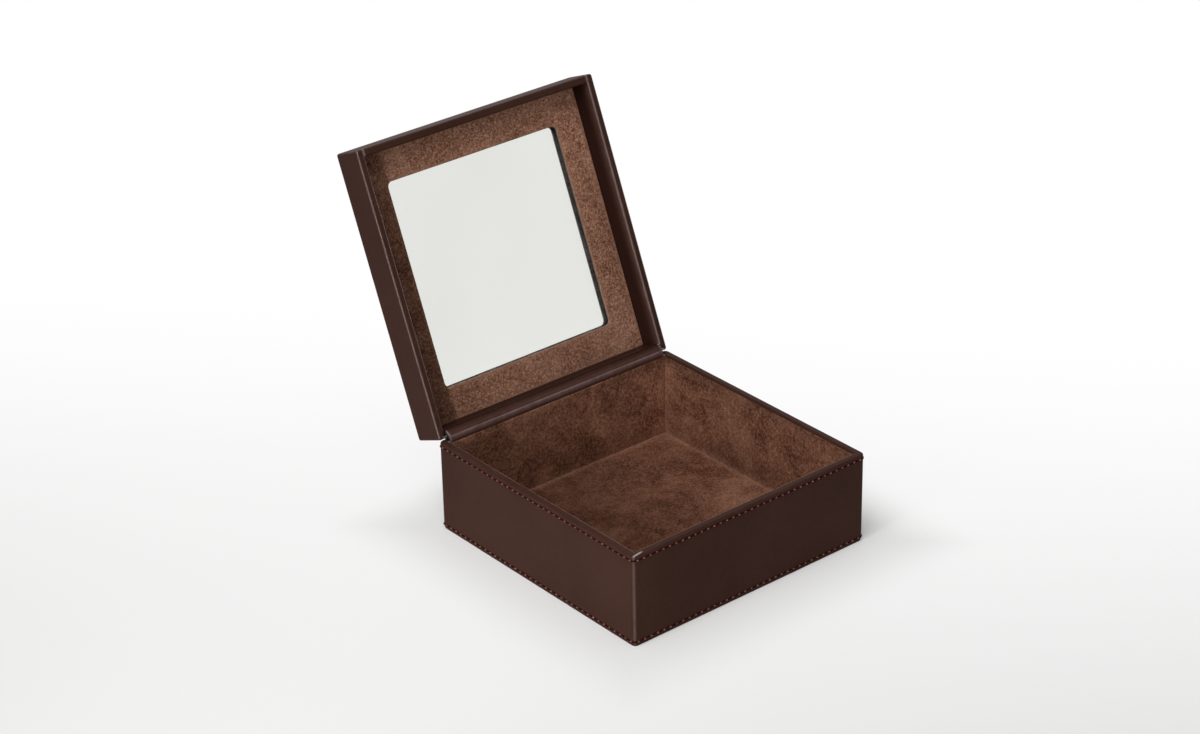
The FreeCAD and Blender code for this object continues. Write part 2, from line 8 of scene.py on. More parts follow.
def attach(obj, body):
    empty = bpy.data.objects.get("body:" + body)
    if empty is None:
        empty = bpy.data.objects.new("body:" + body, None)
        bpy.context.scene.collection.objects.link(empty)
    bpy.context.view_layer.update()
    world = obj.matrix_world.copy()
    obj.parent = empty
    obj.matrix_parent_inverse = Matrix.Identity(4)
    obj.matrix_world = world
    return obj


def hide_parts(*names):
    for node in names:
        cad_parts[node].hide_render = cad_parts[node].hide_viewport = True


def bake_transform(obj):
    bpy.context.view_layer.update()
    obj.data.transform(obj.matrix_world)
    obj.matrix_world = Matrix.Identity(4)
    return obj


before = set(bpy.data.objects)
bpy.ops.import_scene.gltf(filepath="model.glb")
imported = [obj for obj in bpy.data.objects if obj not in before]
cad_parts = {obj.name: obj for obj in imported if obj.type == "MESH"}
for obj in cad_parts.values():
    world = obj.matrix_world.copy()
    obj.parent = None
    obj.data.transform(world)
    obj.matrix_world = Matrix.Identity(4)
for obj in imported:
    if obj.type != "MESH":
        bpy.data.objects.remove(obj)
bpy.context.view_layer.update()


# ---- The boards of the box and lid --------------------------------------------------------------
# Grey bookbinder's board and card, cut to size and glued edge to edge; the leather is laid over
# them. They carry everything else and are nearly all out of sight. Their fibres show as pale
# flecks.
MM = 0.001
BOARD_GREY = (0.33, 0.30, 0.26, 1.0)
BOARD_FLECK = (0.46, 0.43, 0.38, 1.0)


def new_finish(name):
    """A material, its node tree, its shader, and the place on the piece that its grain follows."""
    finish = bpy.data.materials.new(name)
    finish.use_nodes = True
    tree = finish.node_tree
    where = tree.nodes.new("ShaderNodeTexCoord").outputs["Object"]
    return finish, tree, tree.nodes["Principled BSDF"], where


def grain(tree, where, per_metre, detail=2.0, warp=0.0, stretch=None):
    """Irregular grain, from 0 to 1, with that many grains to the metre."""
    if stretch:
        mapping = tree.nodes.new("ShaderNodeMapping")
        mapping.inputs["Scale"].default_value = stretch
        tree.links.new(where, mapping.inputs["Vector"])
        where = mapping.outputs["Vector"]
    node = tree.nodes.new("ShaderNodeTexNoise")
    node.inputs["Scale"].default_value = per_metre
    node.inputs["Detail"].default_value = detail
    node.inputs["Distortion"].default_value = warp
    tree.links.new(where, node.inputs["Vector"])
    return node.outputs["Fac"]


def between(tree, amount, stops):
    """A colour that runs through the stops, each a place from 0 to 1 and a colour."""
    ramp = tree.nodes.new("ShaderNodeValToRGB")
    marks = ramp.color_ramp.elements
    while len(marks) < len(stops):
        marks.new(0.5)
    for mark, (place, colour) in zip(marks, stops):
        mark.position = place
        mark.color = colour
    tree.links.new(amount, ramp.inputs["Fac"])
    return ramp.outputs["Color"]


def spread(tree, amount, low, high):
    """The amount's middle part, from 0.3 to 0.7, stretched to run from low to high."""
    node = tree.nodes.new("ShaderNodeMapRange")
    for plug, bound in (("From Min", 0.3), ("From Max", 0.7), ("To Min", low), ("To Max", high)):
        node.inputs[plug].default_value = bound
    tree.links.new(amount, node.inputs["Value"])
    return node.outputs["Result"]


def relief(tree, shader, heights):
    """Raises the surface by each (height, millimetres, strength) in turn."""
    normal = None
    for height, depth, strength in heights:
        bump = tree.nodes.new("ShaderNodeBump")
        bump.inputs["Distance"].default_value = depth * MM
        bump.inputs["Strength"].default_value = strength
        tree.links.new(height, bump.inputs["Height"])
        if normal:
            tree.links.new(normal, bump.inputs["Normal"])
        normal = bump.outputs["Normal"]
    tree.links.new(normal, shader.inputs["Normal"])


def dress(finish, *names):
    """Gives a finish to solids that keep their own shape."""
    for name in names:
        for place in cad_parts[name].material_slots:
            place.material = finish


grey_board, tree, shader, where = new_finish("grey_board")
fibres = grain(tree, where, 700, detail=4.0, stretch=(1.0, 0.4, 1.0))
clouds = grain(tree, where, 60)
flecked = between(tree, fibres, [(0.35, BOARD_GREY), (0.75, BOARD_FLECK)])
tree.links.new(flecked, shader.inputs["Base Color"])
tree.links.new(spread(tree, clouds, 0.85, 0.97), shader.inputs["Roughness"])
relief(tree, shader, [(fibres, 0.08, 0.4)])
dress(
    grey_board,
    "base_bottom_board", "base_front_board", "base_back_board",
    "base_left_board", "base_right_board", "base_filler_card",
    "lid_top_board", "lid_front_board", "lid_left_board", "lid_right_board",
    "lid_filler_card", "mirror_surround_card",
)


# ---- The leather over the box -------------------------------------------------------------------
# Smooth brown calf, pared thin, stretched over the boards and turned in. It has a low even gloss
# and very fine pores. A painted highlight lightens its upright corners, a painted glint lies on its
# rim at one corner, and painted shade darkens it along the two rows of stitches.
CALF_DEEP = (0.037, 0.0140, 0.0088, 1.0)
CALF_BROWN = (0.049, 0.0200, 0.0140, 1.0)
CALF_PALE = (0.060, 0.0270, 0.0195, 1.0)
CALF_HIGHLIGHT = (0.150, 0.088, 0.080, 1.0)
CALF_SHADE = (0.018, 0.0065, 0.0045, 1.0)
CALF_GLINT = (0.400, 0.375, 0.360, 1.0)
BOX_HALF = 75.0
CORNER_BAND = 1.6
ROW_HIGH = 47.1
ROW_LOW = 2.5
GLINT_PLACE = (-0.0712, -0.0736, 0.0494)
GLINT_REACH = (0.0042, 0.0008, 0.0012)
GLINT_TURN = 0.12


def pores(tree, where, per_metre):
    """Small rounded cells, such as the pores of leather; 0 in the middle of each."""
    node = tree.nodes.new("ShaderNodeTexVoronoi")
    node.feature = "SMOOTH_F1"
    node.inputs["Scale"].default_value = per_metre
    tree.links.new(where, node.inputs["Vector"])
    return node.outputs["Distance"]


def number(tree, how, first, second=0.0):
    """Two amounts, either of which may be a plain number, put together."""
    node = tree.nodes.new("ShaderNodeMath")
    node.operation = how
    for plug, amount in zip(node.inputs, (first, second)):
        if isinstance(amount, (int, float)):
            plug.default_value = amount
        else:
            tree.links.new(amount, plug)
    return node.outputs["Value"]


def ramp_up(tree, amount, low, high, start=0.0, end=1.0):
    """Runs smoothly from start to end as the amount goes from low to high."""
    node = tree.nodes.new("ShaderNodeMapRange")
    node.interpolation_type = "SMOOTHSTEP"
    for plug, bound in (("From Min", low), ("From Max", high), ("To Min", start), ("To Max", end)):
        node.inputs[plug].default_value = bound
    tree.links.new(amount, node.inputs["Value"])
    return node.outputs["Result"]


def from_middle(tree, where, behind=0.0):
    """Millimetres to either side of the middle, to its front or back, and the height."""
    mapping = tree.nodes.new("ShaderNodeMapping")
    mapping.inputs["Scale"].default_value = (1 / MM, 1 / MM, 1 / MM)
    mapping.inputs["Location"].default_value = (0.0, behind, 0.0)
    tree.links.new(where, mapping.inputs["Vector"])
    parts = tree.nodes.new("ShaderNodeSeparateXYZ")
    tree.links.new(mapping.outputs["Vector"], parts.inputs["Vector"])
    x = number(tree, "ABSOLUTE", parts.outputs["X"])
    y = number(tree, "ABSOLUTE", parts.outputs["Y"])
    return x, y, parts.outputs["Z"]


def distance_from(tree, where):
    """How far the place is from the origin."""
    reach = tree.nodes.new("ShaderNodeVectorMath")
    reach.operation = "LENGTH"
    tree.links.new(where, reach.inputs[0])
    return reach.outputs["Value"]


def laid_over(tree, share, below, above, how="MIX"):
    """One colour over another; the share and the upper colour may each be plain or vary."""
    mix = tree.nodes.new("ShaderNodeMix")
    mix.data_type = "RGBA"
    mix.blend_type = how
    tree.links.new(below, mix.inputs["A"])
    for plug, amount in (("Factor", share), ("B", above)):
        if isinstance(amount, (float, tuple)):
            mix.inputs[plug].default_value = amount
        else:
            tree.links.new(amount, mix.inputs[plug])
    return mix.outputs["Result"]


def base_corner_highlights(tree, where):
    """How much painted highlight lightens the box's upright corners, and how far they are polished.
    """
    x, y, _ = from_middle(tree, where)
    corner = number(tree, "MINIMUM", x, y)
    corner = ramp_up(tree, corner, BOX_HALF - CORNER_BAND, BOX_HALF - CORNER_BAND / 2, 0.0, 0.6)
    return corner, corner


def groove_shade(tree, where):
    """How much painted shade darkens the outer faces along the two rows of stitches, as in a
    groove.
    """
    x, y, height = from_middle(tree, where)
    low, high = (
        number(tree, "ABSOLUTE", number(tree, "SUBTRACT", height, row))
        for row in (ROW_LOW, ROW_HIGH)
    )
    outer = ramp_up(tree, number(tree, "MAXIMUM", x, y), BOX_HALF - 0.6, BOX_HALF - 0.3)
    groove = ramp_up(tree, number(tree, "MINIMUM", low, high), 0.3, 1.0, 0.85, 0.0)
    return number(tree, "MULTIPLY", outer, groove)


def painted_corner_glint(tree, where):
    """How much painted glint lightens the rim at the box's front left corner."""
    mapping = tree.nodes.new("ShaderNodeMapping")
    mapping.vector_type = "TEXTURE"
    mapping.inputs["Location"].default_value = GLINT_PLACE
    mapping.inputs["Rotation"].default_value = (0.0, 0.0, GLINT_TURN)
    mapping.inputs["Scale"].default_value = GLINT_REACH
    tree.links.new(where, mapping.inputs["Vector"])
    return ramp_up(tree, distance_from(tree, mapping.outputs["Vector"]), 0.5, 1.0, 0.9, 0.0)


def calf(
    name, smoothest, edges=None, shaded=None, glint=None, highlight_to=CALF_HIGHLIGHT, crinkle=0.0
):
    """Smooth leather; smoothest is its least roughness, and crinkle its wrinkles in mm."""
    finish, tree, shader, where = new_finish(name)
    hide = grain(tree, where, 22, detail=4.0, warp=0.6)
    fine = grain(tree, where, 900, detail=3.0)
    pits = pores(tree, where, 1500)
    broad = between(tree, hide, [(0.25, CALF_DEEP), (0.5, CALF_BROWN), (0.8, CALF_PALE)])
    close = between(tree, fine, [(0.3, CALF_DEEP), (0.55, CALF_BROWN), (0.8, CALF_PALE)])
    colour = laid_over(tree, 0.4, broad, close)
    # Painted shade, laid where the given function asks for it.
    if shaded:
        colour = laid_over(tree, shaded(tree, where), colour, CALF_SHADE)
    # Painted highlight where the edges function asks for it, and a coat where they are polished.
    if edges:
        highlight, polished = edges(tree, where)
        patches = spread(tree, grain(tree, where, 260, detail=3.0), 0.5, 0.9)
        colour = laid_over(tree, number(tree, "MULTIPLY", highlight, patches), colour, highlight_to)
        tree.links.new(polished, shader.inputs["Coat Weight"])
        shader.inputs["Coat Roughness"].default_value = 0.24
    # A painted glint, where the given function asks for it.
    if glint:
        colour = laid_over(tree, glint(tree, where), colour, CALF_GLINT)
    tree.links.new(colour, shader.inputs["Base Color"])
    tree.links.new(spread(tree, hide, smoothest, smoothest + 0.1), shader.inputs["Roughness"])
    folds = grain(tree, where, 160, warp=1.2)
    raised = [(pits, 0.03, 0.25), (fine, 0.02, 0.2), (folds, 0.06, 0.12)]
    if crinkle:
        wrinkles = grain(tree, where, 420, detail=3.0, warp=1.8, stretch=(0.6, 1.0, 1.0))
        raised.append((wrinkles, crinkle, 0.8))
    relief(tree, shader, raised)
    shader.inputs["Specular IOR Level"].default_value = 0.04
    return finish


base_calf = calf("base_calf", 0.34, base_corner_highlights, groove_shade, painted_corner_glint)
dress(base_calf, "base_leather_wrap")


# ---- The stitching round the box ----------------------------------------------------------------
# Waxed thread sewn in one row under the rim and one above the bottom edge. Each dark stitch dives
# into a hole at both ends, and a bead of the paler thread from underneath shows at every hole.
STITCH_COUNT = 149
STITCH_LENGTH = 3.1
BEAD_LENGTH = 1.15
STITCH_RADIUS = 0.45
BEAD_RADIUS = 0.36
THREAD_RINGS = 7
THREAD_SIDES = 8
CORNER_RADIUS = 2.5
ROW_LENGTH = 8 * (BOX_HALF - CORNER_RADIUS) + 2 * math.pi * CORNER_RADIUS
THREAD_DARK = (0.0090, 0.0009, 0.0010, 1.0)
THREAD_BROWN = (0.048, 0.0050, 0.0045, 1.0)
BEAD_DULL = (0.17, 0.055, 0.047, 1.0)
BEAD_PALE = (0.38, 0.165, 0.140, 1.0)


def round_the_box(distance):
    """The place and outward direction that far along the box's rounded outline, in millimetres."""
    straight = 2 * (BOX_HALF - CORNER_RADIUS)
    bend = CORNER_RADIUS * math.pi / 2
    side, rest = divmod(distance % ROW_LENGTH, straight + bend)
    turn = side * math.pi / 2
    if rest < straight:
        x, y, angle = rest - straight / 2, -BOX_HALF, 0.0
    else:
        angle = (rest - straight) / CORNER_RADIUS
        x = BOX_HALF - CORNER_RADIUS + CORNER_RADIUS * math.sin(angle)
        y = -(BOX_HALF - CORNER_RADIUS) - CORNER_RADIUS * math.cos(angle)
    place = Matrix.Rotation(turn, 2) @ Vector((x, y))
    outward = Matrix.Rotation(turn + angle, 2) @ Vector((0.0, -1.0))
    return place, outward


def mesh_piece(name, work, finish, smooth=True):
    """A new piece from finished mesh work, in metres."""
    bmesh.ops.recalc_face_normals(work, faces=work.faces)
    mesh = bpy.data.meshes.new(name)
    work.to_mesh(mesh)
    work.free()
    mesh.polygons.foreach_set("use_smooth", [smooth] * len(mesh.polygons))
    mesh.materials.append(finish)
    piece = bpy.data.objects.new(name, mesh)
    bpy.context.scene.collection.objects.link(piece)
    return piece


def sewn_thread(work, middle, height, length, radius, proud, dive):
    """One visible length of thread, lying along the row and diving in at both ends."""
    rings = []
    for step in range(THREAD_RINGS):
        share = step / (THREAD_RINGS - 1) * 2 - 1
        place, outward = round_the_box(middle + share * length / 2)
        thick = radius * (1 - 0.45 * share ** 4)
        ring = []
        for corner in range(THREAD_SIDES):
            angle = corner * 2 * math.pi / THREAD_SIDES
            reach = proud - dive * share ** 4 + thick * math.cos(angle)
            spot = place + outward * reach
            lift = height + 0.06 * share + thick * math.sin(angle)
            ring.append(work.verts.new((spot.x * MM, spot.y * MM, lift * MM)))
        rings.append(ring)
    for near, far in zip(rings, rings[1:]):
        for corner in range(THREAD_SIDES):
            following = (corner + 1) % THREAD_SIDES
            work.faces.new((near[corner], near[following], far[following], far[corner]))
    work.faces.new(rings[0][::-1])
    work.faces.new(rings[-1])


def thread(name, low, high):
    """Twisted waxed thread between two colours."""
    finish, tree, shader, where = new_finish(name)
    ply = grain(tree, where, 1900, warp=0.5)
    twisted = between(tree, ply, [(0.38, low), (0.62, high)])
    tree.links.new(twisted, shader.inputs["Base Color"])
    tree.links.new(spread(tree, ply, 0.45, 0.6), shader.inputs["Roughness"])
    relief(tree, shader, [(ply, 0.08, 0.5)])
    shader.inputs["Specular IOR Level"].default_value = 0.03
    return finish


dark_thread = thread("dark_thread", THREAD_DARK, THREAD_BROWN)
pale_thread = thread("pale_thread", BEAD_DULL, BEAD_PALE)


def sewn_row(row, height):
    """The dark stitches of one row, and the pale beads between them."""
    pitch = ROW_LENGTH / STITCH_COUNT
    stitches, beads = bmesh.new(), bmesh.new()
    for stitch in range(STITCH_COUNT):
        drift = 0.10 * noise.noise(Vector((stitch * 1.7, height, 0.0)))
        middle = (stitch + 0.5) * pitch + drift
        sewn_thread(
            stitches, middle, height + drift / 2, STITCH_LENGTH, STITCH_RADIUS,
            proud=0.02, dive=0.35,
        )
        size = 1 + 2 * drift
        sewn_thread(
            beads, middle + pitch / 2, height, BEAD_LENGTH * size, BEAD_RADIUS * size,
            proud=0.10, dive=0.40,
        )
    for name, work, finish in (
        ("stitches_" + row, stitches, dark_thread),
        ("stitch_beads_" + row, beads, pale_thread),
    ):
        piece = mesh_piece(name, work, finish)
        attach(piece, "base")


sewn_row("under_rim", ROW_HIGH)
sewn_row("over_floor", ROW_LOW)


# ---- The suede on the walls inside the box ------------------------------------------------------
# Brown split suede on thin card, one piece to each wall. The nap is short and brushed unevenly,
# so it is flecked, with darker and paler patches. It is paler where it turns over an edge, partly
# from the nap and partly as a painted highlight. Painted shade darkens parts of the walls, and some
# walls have their own copy of the suede, brightened to stand in for the light on them.
SUEDE_DEEP = (0.030, 0.0105, 0.0050, 1.0)
SUEDE_BROWN = (0.135, 0.0570, 0.0335, 1.0)
SUEDE_PALE = (0.330, 0.1700, 0.1100, 1.0)
SUEDE_TURNED_LIT = (0.370, 0.1950, 0.1320, 1.0)
SHADE_TINT = (0.15, 0.12, 0.11, 1.0)
SHADE_FOOT = 0.004
SHADE_TOP = 0.026
WALL_FACE = 71.0
LINING_FACE = 70.0
LINING_FOOT = 3.3
LINING_TOP = 48.6
LINING_EDGE = 0.42
MESH_STEP = 2.2
TOP_BAND = 2.2
TURNED_WIDTH = 3.2


def marked(tree, name):
    """The amount marked on the piece under that name, 0 where it has none."""
    node = tree.nodes.new("ShaderNodeAttribute")
    node.attribute_name = name
    return node.outputs["Fac"]


def suede(name, lift=(1.0, 1.0, 1.0), low_shade=0.0, patchy=0.32, fleck=1.0):
    """Brushed suede, paler where marked turned (nap and painted highlight), with painted shade
    where marked.
    """
    finish, tree, shader, where = new_finish(name)
    nap = grain(tree, where, 1050, detail=1.5, warp=0.3)
    tufts = grain(tree, where, 600, warp=0.5)
    strokes = grain(tree, where, 85, detail=4.0, warp=1.4)
    clouds = grain(tree, where, 30, warp=0.8)
    # lift brightens this copy of the suede, standing in for the light on it.
    deep, brown, pale = (
        tuple(part * more for part, more in zip(colour, lift)) + (1.0,)
        for colour in (SUEDE_DEEP, SUEDE_BROWN, SUEDE_PALE)
    )
    near, mid = (
        between(
            tree, fibres, [(0.5 - below / fleck, deep), (0.5, brown), (0.5 + above / fleck, pale)]
        )
        for fibres, below, above in ((nap, 0.14, 0.14), (tufts, 0.16, 0.18))
    )
    wide = between(tree, strokes, [(0.34, deep), (0.47, brown), (0.66, pale)])
    far = between(tree, clouds, [(0.36, deep), (0.48, brown), (0.66, pale)])
    colour = laid_over(tree, 0.35, near, mid)
    colour = laid_over(tree, 0.9 * patchy, colour, wide)
    colour = laid_over(tree, patchy, colour, far)
    # Painted shade, wherever the piece is marked with it.
    colour = laid_over(tree, marked(tree, "painted_shade"), colour, SHADE_TINT, "MULTIPLY")
    # Painted shade, darker towards the foot of the wall.
    if low_shade:
        parts = tree.nodes.new("ShaderNodeSeparateXYZ")
        tree.links.new(where, parts.inputs["Vector"])
        foot = ramp_up(tree, parts.outputs["Z"], SHADE_FOOT, SHADE_TOP, low_shade, 0.0)
        shade_patches = spread(tree, grain(tree, where, 45, warp=1.0), 0.3, 1.3)
        colour = laid_over(tree, number(tree, "MULTIPLY", foot, shade_patches), colour, deep)
    # Paler at turned edges: partly the nap, partly a painted highlight.
    pale_and_lit = number(tree, "MULTIPLY", marked(tree, "turned"), spread(tree, tufts, 0.3, 0.8))
    tree.links.new(laid_over(tree, pale_and_lit, colour, SUEDE_TURNED_LIT), shader.inputs["Base Color"])
    tree.links.new(spread(tree, nap, 0.88, 1.0), shader.inputs["Roughness"])
    relief(tree, shader, [(tufts, 0.45, 0.7), (nap, 0.25, 0.8)])
    shader.inputs["Specular IOR Level"].default_value = 0.03
    shader.inputs["Sheen Weight"].default_value = 0.08
    shader.inputs["Sheen Roughness"].default_value = 0.5
    shader.inputs["Sheen Tint"].default_value = (0.60, 0.34, 0.24, 1.0)
    return finish


def mark(piece, name, amounts):
    """Marks an amount from 0 to 1 at each vertex of the piece."""
    marks = piece.data.attributes.new(name, "FLOAT", "POINT")
    marks.data.foreach_set("value", amounts)


def along(place, start, end):
    """How far the place has come from start to end, from 0 to 1."""
    return min(1.0, max(0.0, (place - start) / (end - start)))


def paint_shade(piece, darkness):
    """Marks how much painted shade lies at each vertex, from its place in millimetres."""
    mark(piece, "painted_shade", [darkness(*(corner.co / MM)) for corner in piece.data.vertices])


def back_shade(x, y, z):
    """Painted shade: darker to the left and near the top, and less of it into the right corner."""
    brushed = (0.33 + 0.22 * along(x, 40, -40)) * along(x, 64, 50)
    return max(brushed, 0.3 * along(z, 30, 42) + 0.28 * along(z, 44.5, 45.5))


def right_shade(x, y, z):
    """Painted shade: darker in the middle and at the top, and less of it into the back corner."""
    brushed = (0.13 + 0.17 * along(abs(y - 14), 22, 0)) * along(y, 66, 54)
    return max(brushed, 0.34 * along(z, 44.5, 45.5))


def soft_slab(name, low, high, edge, finish, uneven=0.05, turned_top=1.0):
    """Suede over card or padding: a slab with rounded edges and a slightly uneven face."""
    low, high = Vector(low), Vector(high)
    work = bmesh.new()
    bmesh.ops.create_cube(work, size=1.0)
    for vert in work.verts:
        vert.co = Vector([low[axis] if vert.co[axis] < 0 else high[axis] for axis in range(3)])
    bmesh.ops.bevel(
        work, geom=list(work.edges), offset=edge, segments=3, profile=0.5,
        affect="EDGES", clamp_overlap=True,
    )
    for axis in range(3):
        length = high[axis] - low[axis]
        cuts = int(length / MESH_STEP)
        for cut in range(1, cuts):
            spot = Vector((0.0, 0.0, 0.0))
            spot[axis] = low[axis] + length * cut / cuts
            way = Vector((0.0, 0.0, 0.0))
            way[axis] = 1.0
            geometry = list(work.verts) + list(work.edges) + list(work.faces)
            bmesh.ops.bisect_plane(work, geom=geometry, plane_co=spot, plane_no=way, dist=1e-5)
    bmesh.ops.recalc_face_normals(work, faces=work.faces)
    work.normal_update()
    shifts = []
    for vert in work.verts:
        broad = noise.noise(vert.co * 0.09)
        close = noise.noise(vert.co * 0.3 + Vector((7.0, 0.0, 0.0)))
        shifts.append(-vert.normal * uneven * (0.75 + 0.5 * (broad + 0.5 * close)))
    # How pale each turned edge is, partly a painted highlight; turned_top sets it on the top edge.
    turned = []
    sizes = high - low
    thin = min(range(3), key=lambda axis: sizes[axis])
    for vert, shift in zip(work.verts, shifts):
        to_edge = min(
            min(vert.co[axis] - low[axis], high[axis] - vert.co[axis])
            for axis in range(3) if axis != thin
        )
        at_top = high.z - vert.co.z < TOP_BAND and thin != 2
        turned.append(max(0.0, 1 - to_edge / TURNED_WIDTH) * (turned_top if at_top else 1.0))
        vert.co = (vert.co + shift) * MM
    piece = mesh_piece(name, work, finish)
    mark(piece, "turned", turned)
    return piece


brown_suede = suede("brown_suede")
# Copies of the suede brightened to stand in for the light on the right and back walls.
side_suede_lit = suede("side_suede_lit", (1.22, 1.18, 1.16), low_shade=0.3, fleck=1.4)
back_suede_lit = suede("back_suede_lit", (2.20, 2.18, 2.14), low_shade=0.25, fleck=1.9)
# The last column is each wall's painted shade.
for wall, low, high, finish, turned_top, nap in (
    ("left", (-WALL_FACE, -WALL_FACE), (-LINING_FACE, WALL_FACE), brown_suede, 0.6, None),
    ("right", (LINING_FACE, -WALL_FACE), (WALL_FACE, WALL_FACE), side_suede_lit, 0.0, right_shade),
    ("front", (-LINING_FACE, -WALL_FACE), (LINING_FACE, -LINING_FACE), brown_suede, 1.0, None),
    ("back", (-LINING_FACE, LINING_FACE), (LINING_FACE, WALL_FACE), back_suede_lit, 0.0, back_shade),
):
    lining = soft_slab(
        "suede_lining_" + wall, low + (LINING_FOOT,), high + (LINING_TOP,), LINING_EDGE, finish,
        turned_top=turned_top,
    )
    if nap:
        paint_shade(lining, nap)
    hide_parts(f"base_{wall}_lining")
    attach(lining, "base")


# ---- The suede pad on the floor of the box ------------------------------------------------------
# The same suede over card with a little padding, laid between the linings of the walls. Its edges
# are rounded over, painted shade darkens it to the left, and its copy of the suede is brightened
# for the light on it.
PAD_TOP = 4.1
PAD_EDGE = 0.38


def floor_shade(x, y, z):
    """Painted shade: darker to the left."""
    return 0.55 * along(x, 40, -15)


floor_suede_lit = suede("floor_suede_lit", (1.18, 1.15, 1.15))
floor_pad = soft_slab(
    "suede_floor_pad", (-LINING_FACE, -LINING_FACE, LINING_FOOT),
    (LINING_FACE, LINING_FACE, PAD_TOP), PAD_EDGE, floor_suede_lit, uneven=0.07,
)
paint_shade(floor_pad, floor_shade)
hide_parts("base_floor_pad")
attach(floor_pad, "base")


# ---- The leather over the lid -------------------------------------------------------------------
# The same calf over the walls of the lid, round its rim and up the inside. A painted highlight
# lightens the edges of its rim and its corners, and a painted sheen its inner side walls near the
# rim; the side edges of the rim are polished, and painted shade darkens it deep inside.
RIM_WIDTH = 4.0
LID_INSIDE = BOX_HALF - RIM_WIDTH
HINGE_Y = 74.2
HINGE_Z = 50.85
OPEN_ANGLE = math.radians(112.8)
LID_RIM = -0.15
SHEEN_DEPTH = 6.5


def in_shut_lid(tree, where):
    """The same as from_middle for the lid, as it lies when it is shut, up from the pin."""
    turned = tree.nodes.new("ShaderNodeMapping")
    turned.vector_type = "TEXTURE"
    turned.inputs["Location"].default_value = (0.0, HINGE_Y * MM, HINGE_Z * MM)
    turned.inputs["Rotation"].default_value = (-OPEN_ANGLE, 0.0, 0.0)
    tree.links.new(where, turned.inputs["Vector"])
    return from_middle(tree, turned.outputs["Vector"], behind=HINGE_Y)


def inside_lid(tree, x, y):
    """1 on the faces that look into the lid."""
    outermost = number(tree, "MAXIMUM", x, y)
    return ramp_up(tree, outermost, LID_INSIDE + 0.3, LID_INSIDE + 0.9, 1.0, 0.0)


def lid_highlights(tree, where):
    """How much painted highlight and sheen lighten the lid's edges and inner walls, and how
    polished.
    """
    x, y, height = in_shut_lid(tree, where)
    at_rim = number(tree, "SUBTRACT", LID_RIM + 1.0, height)
    side = number(tree, "SUBTRACT", x, BOX_HALF - 1.0)
    fold = number(tree, "SUBTRACT", LID_INSIDE + 1.0, x)
    fold = number(tree, "MINIMUM", fold, number(tree, "SUBTRACT", x, LID_INSIDE - 0.9))
    near_edge = number(tree, "MINIMUM", number(tree, "MAXIMUM", side, fold), at_rim)
    polished = ramp_up(tree, near_edge, 0.05, 0.4)
    outer = number(tree, "MINIMUM", number(tree, "SUBTRACT", y, BOX_HALF - 1.0), at_rim)
    outer_highlight = ramp_up(tree, outer, 0.35, 0.62, 0.0, 0.4)
    side_highlight = ramp_up(tree, near_edge, 0.3, 0.62, 0.0, 0.9)
    corner = number(tree, "MINIMUM", x, y)
    corner = ramp_up(tree, corner, BOX_HALF - 1.0, BOX_HALF - 0.4, 0.0, 0.35)
    highlight = number(tree, "MAXIMUM", number(tree, "MAXIMUM", outer_highlight, side_highlight), corner)
    # Painted sheen on the inner side walls, strongest at the rim.
    depth = number(tree, "SUBTRACT", 1.0, number(tree, "DIVIDE", height, SHEEN_DEPTH))
    wall_sheen = number(tree, "POWER", number(tree, "MAXIMUM", depth, 0.0), 2.0)
    wall_sheen = number(tree, "MULTIPLY", wall_sheen, ramp_up(tree, x, 69.8, 70.6, 0.0, 0.85))
    wall_sheen = number(tree, "MULTIPLY", wall_sheen, inside_lid(tree, x, y))
    return number(tree, "MAXIMUM", highlight, wall_sheen), polished


def lid_shade(tree, where):
    """How much painted shade darkens the leather deep inside the lid."""
    x, y, height = in_shut_lid(tree, where)
    dark = ramp_up(tree, height, 1.5, 8.0, 0.0, 0.75)
    return number(tree, "MULTIPLY", inside_lid(tree, x, y), dark)


dress(calf("lid_calf", 0.34, lid_highlights, lid_shade), "lid_leather_wrap")


# ---- The leather panels and the lid's pared back edge -------------------------------------------
# One panel of the calf closes the top of the lid, and one closes the underside of the box. Behind
# the hinge the leather is pared down over the edge of the lid's back board.
dress(calf("panel_calf", 0.36), "lid_top_panel", "base_underside_panel")
dress(calf("pared_calf", 0.45), "lid_back_board")


# ---- The mirror in the lid ----------------------------------------------------------------------
# A thin pane of glass, silvered on its back, held against the lid's inner board by the suede frame.
# The silver lies the pane's own thickness behind the frame, so the frame's edge shows twice.
GLASS_HALF = 60.0
LID_MIDDLE = -HINGE_Y
GLASS_FRONT = 15.15
GLASS_BACK = 16.65
PANE_SHORT = 0.12
SILVER_THICKNESS = 0.1
SILVER_DULL = (0.775, 0.775, 0.75, 1.0)
SILVER_BRIGHT = (0.815, 0.815, 0.79, 1.0)


def in_lid(x, y, z):
    """A place in the open lid, in metres, from millimetres from the pin with the lid shut."""
    cos, sin = math.cos(OPEN_ANGLE), math.sin(OPEN_ANGLE)
    return Vector((x, HINGE_Y + y * cos + z * sin, HINGE_Z - y * sin + z * cos)) * MM


def lid_sheet(name, front, back, edge, finish):
    """A flat sheet behind the window of the lid, with softened edges."""
    work = bmesh.new()
    bmesh.ops.create_cube(work, size=1.0)
    for vert in work.verts:
        vert.co = Vector((
            math.copysign(GLASS_HALF, vert.co.x),
            LID_MIDDLE + math.copysign(GLASS_HALF, vert.co.y),
            back if vert.co.z > 0 else front,
        ))
    bmesh.ops.bevel(
        work, geom=list(work.edges), offset=edge, segments=2, profile=0.5,
        affect="EDGES", clamp_overlap=True,
    )
    for vert in work.verts:
        vert.co = in_lid(*vert.co)
    piece = mesh_piece(name, work, finish, smooth=False)
    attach(piece, "lid")
    return piece


